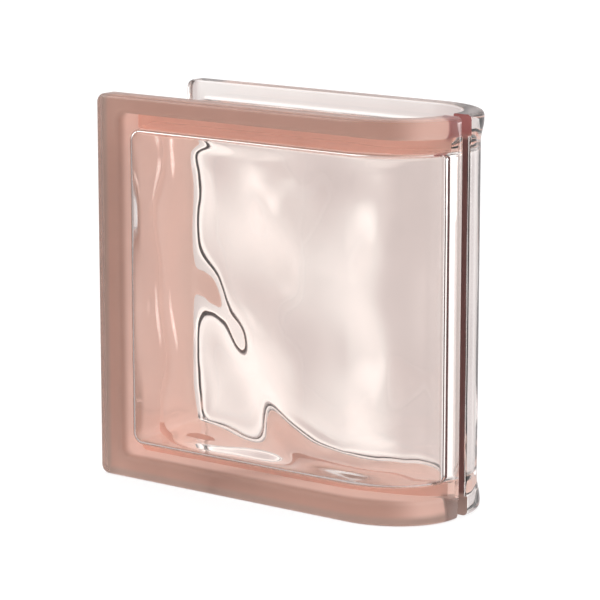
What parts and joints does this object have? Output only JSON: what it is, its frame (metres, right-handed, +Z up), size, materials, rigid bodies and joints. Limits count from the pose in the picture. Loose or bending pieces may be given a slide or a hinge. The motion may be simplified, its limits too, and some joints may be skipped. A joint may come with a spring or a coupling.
{
  "type": "glass end block",
  "caption": "Hollow pressed-glass building block with one rounded end, wavy window faces and a mortar channel along its top, bottom and square side.",
  "frame": {"origin": "middle of the underside, on the plane that both flanges' bottom lands stand on", "axes": "+X along the block to its rounded end, +Y from the front face to the back face, +Z up"},
  "size_m": [0.19, 0.08, 0.19],
  "materials": {
    "front_glass": "clear glass, satin pink coating behind its flange and walls",
    "back_glass": "clear gloss glass, pink coating on its walls"
  },
  "bodies": {
    "root": {"front_shell": "front_glass", "back_shell": "back_glass"}
  },
  "joints": []
}
